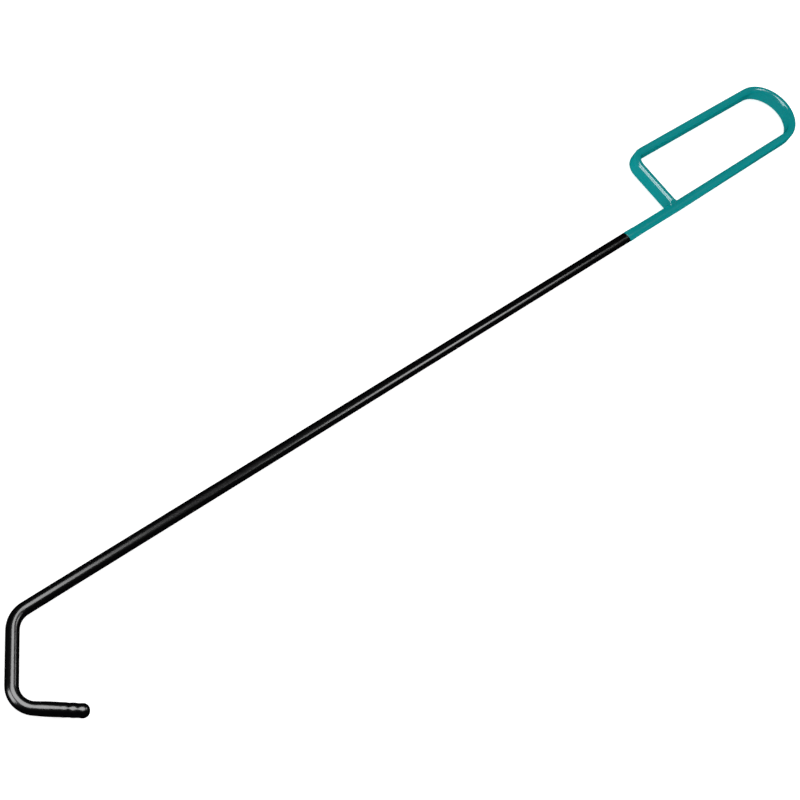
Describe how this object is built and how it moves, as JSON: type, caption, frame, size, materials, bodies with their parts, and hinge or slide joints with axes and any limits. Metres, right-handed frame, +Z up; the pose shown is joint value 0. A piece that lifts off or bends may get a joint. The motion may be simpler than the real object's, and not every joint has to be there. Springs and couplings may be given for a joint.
{
  "type": "long-reach pull hook",
  "caption": "Long thin steel pull hook: a straight round bar with a double-bent hook at one end and a welded oblong loop handle at the other, dipped in glossy plastic.",
  "frame": {"origin": "bottom centre of the whole tool's box, as the tool lies flat", "axes": "+X along the shaft from the hook to the handle; +Y towards the side the handle loop stands on, with the hook on the -Y side; +Z up, square to the plane the bar is bent in"},
  "size_m": [0.9139, 0.1412, 0.0146],
  "materials": {
    "bar_steel": "drawn mild steel bar, hidden under the coats",
    "weld_metal": "as-welded bead, hidden under the handle's coat",
    "black_coat": "glossy black dipped plastic coat",
    "teal_coat": "glossy teal dipped vinyl coat"
  },
  "bodies": {
    "root": {"steel_bar": "bar_steel", "weld_fillet": "weld_metal", "shaft_coating": "black_coat", "handle_grip": "teal_coat"}
  },
  "joints": []
}
